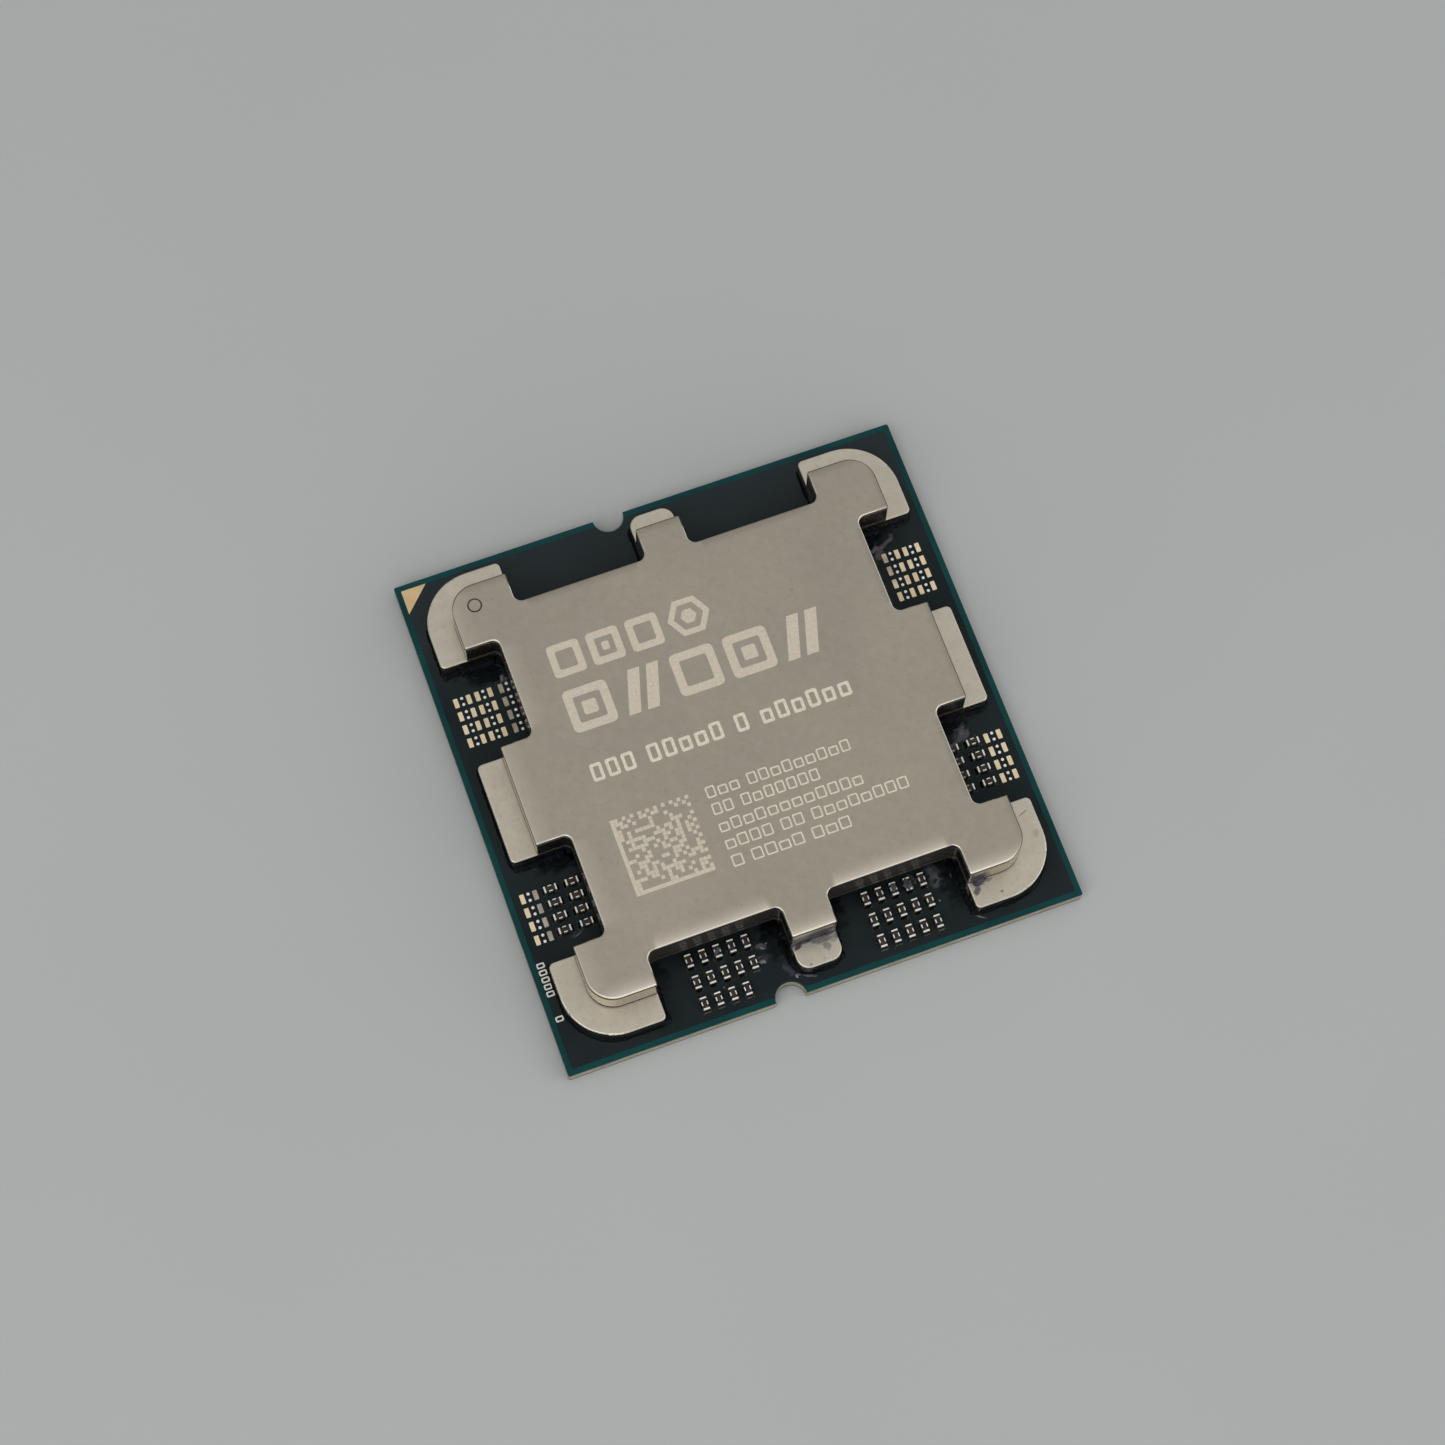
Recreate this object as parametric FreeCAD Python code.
import FreeCAD, Part
import math
import os

# A land-grid desktop processor. An organic substrate carries gold lands underneath. On top it
# carries silicon dies, chip capacitors and a legged, nickel-plated copper lid (the heat spreader)
# that is soldered to the dies and glued down at its eight legs.
# Millimetres. The origin is the centre of the land side, +Z points up through the lid, and the
# pin 1 corner is at -X, +Y.

# Substrate
package_side = 40.0
package_corner_radius = 0.15
mask_thickness = 0.03
buildup_thickness = 0.17
core_thickness = 0.80
mask_inset = 0.45
plane_inset = 1.5
plane_thickness = 0.03
notch_x = -2.85
notch_radius = 1.2
notch_mask_clearance = 0.08
via_columns = 11
via_pitch = 3.0
via_radius = 0.15

# Lands, in rows that are shifted by half a pitch from one row to the next
land_rows = 45
land_long_row = 40
land_pitch = 0.94
land_row_pitch = land_pitch * math.sqrt(3.0) / 2.0
land_radius = 0.30
land_void_half_rows = 3
land_void_half_width = 3.8

# The mask below is open over the whole land field, round an island in the field's blank middle
field_width = 37.9
field_depth = 37.0
field_corner_radius = 0.4
island_width = 7.2
island_depth = 5.3

# Pin 1 triangle
pin1_leg = 1.95

# Capacitor footprints: two end pads and two small centre pads
end_pad_reach = 0.50
end_pad_length = 0.35
end_pad_width = 0.74
end_pad_corner_radius = 0.06
centre_pad_reach = 0.25
centre_pad_radius = 0.115
pad_clearance = 0.02
side_row_first = 6.36
side_row_pitch = 1.10
side_row_count = 4
upper_columns = (17.99, 16.33, 14.47)
lower_spare_column = 18.29
lower_capacitor_columns = (16.64, 14.97)
front_rows = (-14.97, -16.66, -18.35)
front_pitch = 1.10
front_left_first = -8.97
front_right_first = 4.80
front_columns = 5

# Three-terminal chip capacitors
capacitor_length = 1.00
capacitor_width = 0.52
capacitor_height = 0.48
capacitor_edge_radius = 0.05
plating = 0.02
end_band = 0.14
side_band_length = 0.28
side_band_reach = 0.10
solder_gap = 0.03
end_fillet_reach = 0.16
end_fillet_height = 0.32
side_fillet_reach = 0.10
side_fillet_height = 0.20
fillet_hollow = 0.40
side_solder_inset = 0.02

# Heat spreader
flange_half = 18.75
flange_corner_radius = 4.0
flange_height = 1.55
plateau_half = 16.75
plateau_corner_radius = 2.05
plateau_height = 4.15
leg_end_radius = 0.40
front_leg_end_radius = 0.95
plateau_end_radius = 0.12
window_fillet = 0.60
window_inner_x = 14.20
window_inner_y = 14.27
side_leg_half = 4.0
front_leg_half = 1.73
corner_leg_start = 12.0
cavity_half = 14.75
cavity_corner_radius = 3.0
cavity_height = 1.00
plateau_edge_radius = 0.15
flange_edge_radius = 0.12
ring_x = -14.97
ring_y = 15.05
ring_radius = 0.50
ring_line = 0.08
ring_depth = 0.05

# Adhesive
adhesive_thickness = 0.12
adhesive_squeeze = 0.12

# Dies: each place is (centre x, centre y, width, depth)
compute_place = (-6.0, -7.2, 10.5, 6.8)
io_place = (0.6, 4.2, 12.9, 9.5)
bump_height = 0.07
bump_pitch = 1.20
bump_radius = 0.25
bump_margin = 0.55
base_die_thickness = 0.35
cache_width = 5.6
die_gap = 0.05
stack_inset = 0.10
back_metal_thickness = 0.02
lid_gold_thickness = 0.02
lid_gold_margin = 1.0
solder_thickness = 0.13
solder_squeeze = 0.30
underfill_spread = 0.90
underfill_top_spread = 0.08
underfill_climb = 0.40

# How far a cutting shape runs past what it cuts
overrun = 1.0

# Levels above the land side
lower_buildup_z = mask_thickness
core_z = lower_buildup_z + buildup_thickness
upper_buildup_z = core_z + core_thickness
upper_mask_z = upper_buildup_z + buildup_thickness
top_z = upper_mask_z + mask_thickness
foot_z = top_z + adhesive_thickness
flange_z = top_z + flange_height
plateau_z = top_z + plateau_height
ceiling_z = top_z + cavity_height
die_z = top_z + bump_height
metal_top_z = ceiling_z - lid_gold_thickness - solder_thickness
die_top_z = metal_top_z - back_metal_thickness


def vector(x, y, z=0.0):
    return FreeCAD.Vector(x, y, z)


def rounded_wire(points, z):
    """Closed wire through (x, y, radius) points, each corner rounded by a tangent arc."""
    entries = []
    exits = []
    arcs = []
    for index, (x, y, radius) in enumerate(points):
        here = vector(x, y, z)
        before = points[index - 1]
        after = points[(index + 1) % len(points)]
        arriving = (here - vector(before[0], before[1], z)).normalize()
        leaving = (vector(after[0], after[1], z) - here).normalize()
        half_turn = arriving.getAngle(leaving) / 2.0
        reach = radius * math.tan(half_turn)
        entry = here - arriving * reach
        leave = here + leaving * reach
        if radius > 0.0:
            inward = (leaving - arriving).normalize()
            middle = here + inward * (radius / math.cos(half_turn) - radius)
            arcs.append(Part.Arc(entry, middle, leave).toShape())
        else:
            arcs.append(None)
        entries.append(entry)
        exits.append(leave)
    edges = []
    for index, arc in enumerate(arcs):
        if arc is not None:
            edges.append(arc)
        start = exits[index]
        end = entries[(index + 1) % len(points)]
        edges.append(Part.makeLine(start, end))
    return Part.Wire(edges)


def all_quadrants(quadrant):
    """Mirror points that run from the +X axis to the +Y axis into a whole outline."""
    second = [(-x, y, radius) for x, y, radius in reversed(quadrant)]
    third = [(-x, -y, radius) for x, y, radius in quadrant]
    fourth = [(x, -y, radius) for x, y, radius in reversed(quadrant)]
    return quadrant + second + third + fourth


def rectangle(width, depth, radius=0.0, x=0.0, y=0.0):
    half_x = width / 2.0
    half_y = depth / 2.0
    signs = ((1, 1), (-1, 1), (-1, -1), (1, -1))
    return [(x + side * half_x, y + end * half_y, radius) for side, end in signs]


def plate(points, low, high):
    face = Part.Face(rounded_wire(points, low))
    return face.extrude(vector(0, 0, high - low))


def perforated_plate(outer, holes, low, high):
    """Plate whose holes are wires drawn at its low face."""
    face = Part.makeFace([rounded_wire(outer, low)] + holes, "Part::FaceMakerBullseye")
    return face.extrude(vector(0, 0, high - low))


def disc(x, y, radius, low, high):
    return Part.makeCylinder(radius, high - low, vector(x, y, low))


def circle_wire(x, y, radius, z):
    circle = Part.Circle(vector(x, y, z), vector(0, 0, 1), radius)
    return Part.Wire([circle.toShape()])


def cut_notches(solid, radius):
    """Cut the two half-round keying notches in the front and back edges."""
    for y in (-package_side / 2.0, package_side / 2.0):
        solid = solid.cut(disc(notch_x, y, radius, -overrun, top_z + overrun))
    return solid


def save(name, shapes):
    shape = shapes[0] if len(shapes) == 1 else Part.makeCompound(shapes)
    shape.exportStep(os.path.join("parts", name + ".step"))


# ---------------------------------------------------------------- substrate

def land_centres():
    """Centres of the lands: a triangular field with a blank patch in the middle."""
    centres = []
    middle_row = land_rows // 2
    for row in range(land_rows):
        offset = row - middle_row
        count = land_long_row - row % 2
        y = offset * land_row_pitch
        for column in range(count):
            x = (column - (count - 1) / 2.0) * land_pitch
            in_void = abs(offset) <= land_void_half_rows and abs(x) < land_void_half_width
            if not in_void:
                centres.append((x, y))
    return centres


def via_centres():
    reach = (via_columns - 1) / 2.0
    steps = [(index - reach) * via_pitch for index in range(via_columns)]
    return [(x, y) for x in steps for y in steps]


def laminate(low, high):
    outline = rectangle(package_side, package_side, package_corner_radius)
    return cut_notches(plate(outline, low, high), notch_radius)


def copper_plane(low):
    side = package_side - 2.0 * plane_inset
    return plate(rectangle(side, side, package_corner_radius), low, low + plane_thickness)


def make_substrate():
    core = laminate(core_z, upper_buildup_z)
    vias = [disc(x, y, via_radius, core_z, upper_buildup_z) for x, y in via_centres()]
    lower_plane = copper_plane(core_z - plane_thickness)
    upper_plane = copper_plane(upper_buildup_z)
    save("substrate_core", [core.cut(Part.makeCompound(vias))])
    save("core_plated_vias", vias)
    save("lower_copper_plane", [lower_plane])
    save("upper_copper_plane", [upper_plane])
    save("lower_buildup", [laminate(lower_buildup_z, core_z).cut(lower_plane)])
    save("upper_buildup", [laminate(upper_buildup_z, upper_mask_z).cut(upper_plane)])


def mask_outline():
    side = package_side - 2.0 * mask_inset
    return rectangle(side, side)


def make_land_side():
    lands = [disc(x, y, land_radius, 0.0, mask_thickness) for x, y in land_centres()]
    field = rounded_wire(rectangle(field_width, field_depth, field_corner_radius), 0.0)
    border = perforated_plate(mask_outline(), [field], 0.0, mask_thickness)
    border = cut_notches(border, notch_radius + notch_mask_clearance)
    island_outline = rectangle(island_width, island_depth, field_corner_radius)
    island = plate(island_outline, 0.0, mask_thickness)
    save("land_pads", lands)
    save("lower_solder_mask", [border, island])


# ---------------------------------------------------------------- footprints and capacitors

def side_rows(sign):
    return [sign * (side_row_first + side_row_pitch * row) for row in range(side_row_count)]


def side_places(columns, x_sign, y_sign):
    return [(x_sign * x, y, False) for x in columns for y in side_rows(y_sign)]


def front_places(first, missing):
    places = []
    for row, y in enumerate(front_rows):
        for column in range(front_columns):
            if (row, column) not in missing:
                places.append((first + front_pitch * column, y, True))
    return places


def turned(x, y, along, across, upright):
    """Point at a distance along and across a footprint, which lies along X or stands along Y."""
    if upright:
        return x - across, y + along
    return x + along, y + across


def end_pad_points(place, margin):
    x, y, upright = place
    length = end_pad_length + 2.0 * margin
    width = end_pad_width + 2.0 * margin
    size = (width, length) if upright else (length, width)
    outlines = []
    for side in (-1, 1):
        pad_x, pad_y = turned(x, y, side * end_pad_reach, 0.0, upright)
        outlines.append(rectangle(*size, end_pad_corner_radius + margin, pad_x, pad_y))
    return outlines


def centre_pad_points(place):
    x, y, upright = place
    return [turned(x, y, 0.0, side * centre_pad_reach, upright) for side in (-1, 1)]


def end_pads(places):
    pads = []
    for place in places:
        for outline in end_pad_points(place, 0.0):
            pads.append(plate(outline, upper_mask_z, top_z))
    return pads


def centre_pads(places):
    pads = []
    for place in places:
        for x, y in centre_pad_points(place):
            pads.append(disc(x, y, centre_pad_radius, upper_mask_z, top_z))
    return pads


def pad_openings(places):
    wires = []
    for place in places:
        for outline in end_pad_points(place, pad_clearance):
            wires.append(rounded_wire(outline, upper_mask_z))
        for x, y in centre_pad_points(place):
            wires.append(circle_wire(x, y, centre_pad_radius + pad_clearance, upper_mask_z))
    return wires


def centred_box(length, width, height, low):
    return Part.makeBox(length, width, height, vector(-length / 2.0, -width / 2.0, low))


def slab(left, right, front, back):
    """Box from the solder's underside to above a capacitor, for slicing terminals out."""
    return Part.makeBox(right - left, back - front, overrun, vector(left, front, 0.0))


def solder_fillet(edge, under, reach, height, width):
    """Solder under a terminal's edge, with a hollow slope outside it. Runs along +X."""
    base = vector(edge - under, -width / 2.0, 0.0)
    toe = vector(edge + reach, -width / 2.0, 0.0)
    top = vector(edge, -width / 2.0, height)
    hollow = vector(edge + reach * fillet_hollow, -width / 2.0, height * fillet_hollow)
    shelf = vector(edge, -width / 2.0, solder_gap)
    inner = vector(edge - under, -width / 2.0, solder_gap)
    edges = [
        Part.makeLine(base, toe),
        Part.Arc(toe, hollow, top).toShape(),
        Part.makeLine(top, shelf),
        Part.makeLine(shelf, inner),
        Part.makeLine(inner, base),
    ]
    return Part.Face(Part.Wire(edges)).extrude(vector(0, width, 0))


def capacitor_pieces():
    """One capacitor lying along X with its solder's underside at z = 0."""
    outer = centred_box(capacitor_length, capacitor_width, capacitor_height, solder_gap)
    outer = outer.makeFillet(capacitor_edge_radius, outer.Edges)
    body = centred_box(
        capacitor_length - 2.0 * plating,
        capacitor_width - 2.0 * plating,
        capacitor_height - 2.0 * plating,
        solder_gap + plating,
    )
    body = body.makeChamfer(capacitor_edge_radius - plating, body.Edges)
    shell = outer.cut(body)
    end_start = capacitor_length / 2.0 - end_band
    side_start = capacitor_width / 2.0 - side_band_reach
    end_slice = slab(end_start, end_start + overrun, -overrun, overrun)
    side_slice = slab(
        -side_band_length / 2.0, side_band_length / 2.0, side_start, side_start + overrun
    )
    end_terminal = shell.common(end_slice)
    side_terminal = shell.common(side_slice)
    end_solder = solder_fillet(
        capacitor_length / 2.0, end_band, end_fillet_reach, end_fillet_height, capacitor_width
    )
    side_solder = solder_fillet(
        capacitor_width / 2.0,
        side_band_reach,
        side_fillet_reach,
        side_fillet_height,
        side_band_length - 2.0 * side_solder_inset,
    )
    axis = vector(0, 0, 1)
    origin = vector(0, 0, 0)
    side_solder.rotate(origin, axis, 90)
    pieces = {"bodies": [body], "terminals": [], "solder": []}
    for turn in (0, 180):
        for kind, piece in (
            ("terminals", end_terminal),
            ("terminals", side_terminal),
            ("solder", end_solder),
            ("solder", side_solder),
        ):
            copy = piece.copy()
            copy.rotate(origin, axis, turn)
            pieces[kind].append(copy)
    return pieces


def make_capacitors(name, places, pieces):
    for kind, shapes in pieces.items():
        placed = []
        for x, y, upright in places:
            for shape in shapes:
                copy = shape.copy()
                if upright:
                    copy.rotate(vector(0, 0, 0), vector(0, 0, 1), 90)
                copy.translate(vector(x, y, top_z))
                placed.append(copy)
        save(name + "_capacitor_" + kind, placed)


# ---------------------------------------------------------------- dies

def bump_centres(place):
    x, y, width, depth = place
    columns = int((width - 2.0 * bump_margin) / bump_pitch) + 1
    rows = int((depth - 2.0 * bump_margin) / bump_pitch) + 1
    centres = []
    for column in range(columns):
        for row in range(rows):
            bump_x = x + (column - (columns - 1) / 2.0) * bump_pitch
            bump_y = y + (row - (rows - 1) / 2.0) * bump_pitch
            centres.append((bump_x, bump_y))
    return centres


def grown(place, margin, radius=0.0):
    x, y, width, depth = place
    return rectangle(width + 2.0 * margin, depth + 2.0 * margin, radius, x, y)


def make_die_joint(name, place):
    """Bumps, underfill, back metal, indium solder and gold on the lid for one die stack."""
    bumps = [disc(x, y, bump_radius, upper_mask_z, die_z) for x, y in bump_centres(place)]
    low = rounded_wire(grown(place, underfill_spread, underfill_spread), top_z)
    high_outline = grown(place, underfill_top_spread, underfill_top_spread)
    high = rounded_wire(high_outline, die_z + underfill_climb)
    mound = Part.makeLoft([low, high], True, True)
    inside = plate(grown(place, 0.0), die_z, die_top_z)
    underfill = mound.cut(inside).cut(Part.makeCompound(bumps))
    metal = plate(grown(place, -stack_inset), die_top_z, metal_top_z)
    solder_outline = grown(place, solder_squeeze, 2.0 * solder_squeeze)
    solder = plate(solder_outline, metal_top_z, metal_top_z + solder_thickness)
    gold_outline = grown(place, lid_gold_margin, lid_gold_margin)
    gold = plate(gold_outline, ceiling_z - lid_gold_thickness, ceiling_z)
    save(name + "_die_bumps", bumps)
    save(name + "_die_underfill", [underfill])
    save(name + "_die_back_metal", [metal])
    save(name + "_die_indium_solder", [solder])
    return gold


def make_dies():
    compute_gold = make_die_joint("compute", compute_place)
    io_gold = make_die_joint("io", io_place)
    save("lid_gold_pads", [compute_gold, io_gold])
    save("io_die", [plate(grown(io_place, 0.0), die_z, die_top_z)])

    x, y, width, depth = compute_place
    cache_z = die_z + base_die_thickness
    save("compute_die", [plate(grown(compute_place, 0.0), die_z, cache_z)])
    stack_depth = depth - 2.0 * stack_inset
    save("cache_die", [plate(rectangle(cache_width, stack_depth, 0.0, x, y), cache_z, die_top_z)])
    filler_width = (width - cache_width) / 2.0 - die_gap - stack_inset
    for side, sign in (("left", -1), ("right", 1)):
        centre = x + sign * (cache_width + filler_width + 2.0 * die_gap) / 2.0
        filler = plate(rectangle(filler_width, stack_depth, 0.0, centre, y), cache_z, die_top_z)
        save("structural_silicon_" + side, [filler])


# ---------------------------------------------------------------- lid and adhesive

def lid_outline(half, corner_radius, end_radius, front_end_radius):
    """Lid outline at one level: a rounded square with eight windows cut in from its edges."""
    quadrant = [
        (half, side_leg_half, end_radius),
        (window_inner_x, side_leg_half, window_fillet),
        (window_inner_x, corner_leg_start, window_fillet),
        (half, corner_leg_start, end_radius),
        (half, half, corner_radius),
        (corner_leg_start, half, end_radius),
        (corner_leg_start, window_inner_y, window_fillet),
        (front_leg_half, window_inner_y, window_fillet),
        (front_leg_half, half, front_end_radius),
    ]
    return all_quadrants(quadrant)


def flange_outline():
    return lid_outline(flange_half, flange_corner_radius, leg_end_radius, front_leg_end_radius)


def edges_at(shape, level, reach):
    """Level edges at a height, all of whose ends lie at least reach from a centre line."""
    found = []
    for edge in shape.Edges:
        heights = [abs(vertex.Z - level) < 1e-6 for vertex in edge.Vertexes]
        outside = [max(abs(vertex.X), abs(vertex.Y)) >= reach for vertex in edge.Vertexes]
        if all(heights) and all(outside):
            found.append(edge)
    return found


def cavity(low, high):
    side = 2.0 * cavity_half
    return plate(rectangle(side, side, cavity_corner_radius), low, high)


def make_lid():
    flange = plate(flange_outline(), foot_z, flange_z)
    flange = flange.makeFillet(flange_edge_radius, edges_at(flange, flange_z, 0.0))
    plateau_points = lid_outline(
        plateau_half, plateau_corner_radius, plateau_end_radius, plateau_end_radius
    )
    plateau = plate(plateau_points, foot_z, plateau_z)
    plateau = plateau.makeFillet(plateau_edge_radius, edges_at(plateau, plateau_z, 0.0))
    lid = flange.fuse(plateau).cut(cavity(foot_z - overrun, ceiling_z))
    ring_floor = plateau_z - ring_depth
    ring_outer = disc(ring_x, ring_y, ring_radius + ring_line / 2.0, ring_floor, plateau_z + overrun)
    ring_inner = disc(ring_x, ring_y, ring_radius - ring_line / 2.0, foot_z, plateau_z + overrun)
    ring = ring_outer.cut(ring_inner)
    save("heat_spreader", [lid.cut(ring).removeSplitter()])


def bead_name(centre):
    """Name a bead after the leg that it holds."""
    along = "" if abs(centre.x) < front_leg_half else ("left" if centre.x < 0 else "right")
    across = "" if abs(centre.y) < side_leg_half else ("front" if centre.y < 0 else "back")
    return "_".join(word for word in ("adhesive", across, along) if word)


def make_adhesive():
    feet = Part.Face(rounded_wire(flange_outline(), top_z))
    side = 2.0 * cavity_half
    feet = feet.cut(Part.Face(rounded_wire(rectangle(side, side, cavity_corner_radius), top_z)))
    for foot in feet.Faces:
        bead = foot.makeOffset2D(adhesive_squeeze)
        save(bead_name(foot.CenterOfMass), [bead.extrude(vector(0, 0, adhesive_thickness))])


# ---------------------------------------------------------------- the top side

def make_top_side():
    left_upper = side_places(upper_columns, -1, 1)
    right_upper = side_places(upper_columns, 1, 1)
    left_spares = side_places((lower_spare_column,), -1, -1)
    right_spares = side_places((lower_spare_column,), 1, -1)
    left_lower = side_places(lower_capacitor_columns, -1, -1)
    right_lower = side_places(lower_capacitor_columns, 1, -1)
    last_row = len(front_rows) - 1
    front_left = front_places(front_left_first, {(last_row, front_columns - 1)})
    front_right = front_places(front_right_first, set())

    groups = {
        "left_upper": left_upper,
        "right_upper": right_upper,
        "left_lower": left_spares + left_lower,
        "right_lower": right_spares + right_lower,
        "front_left": front_left,
        "front_right": front_right,
    }
    openings = []
    for name, places in groups.items():
        save(name + "_end_pads", end_pads(places))
        save(name + "_centre_pads", centre_pads(places))
        openings += pad_openings(places)

    pieces = capacitor_pieces()
    make_capacitors("left_lower", left_lower, pieces)
    make_capacitors("right_lower", right_lower, pieces)
    make_capacitors("front_left", front_left, pieces)
    make_capacitors("front_right", front_right, pieces)

    for place in (compute_place, io_place):
        for x, y in bump_centres(place):
            openings.append(circle_wire(x, y, bump_radius, upper_mask_z))
    mask = perforated_plate(mask_outline(), openings, upper_mask_z, top_z)
    corner = package_side / 2.0 - mask_inset
    triangle = [
        (-corner, corner, 0.0),
        (-corner, corner - pin1_leg, 0.0),
        (-corner + pin1_leg, corner, 0.0),
    ]
    marker = plate(triangle, upper_mask_z, top_z)
    save("pin1_marker", [marker])
    mask = cut_notches(mask.cut(marker), notch_radius + notch_mask_clearance)
    save("upper_solder_mask", [mask])


os.makedirs("parts", exist_ok=True)
make_substrate()
make_land_side()
make_top_side()
make_dies()
make_lid()
make_adhesive()
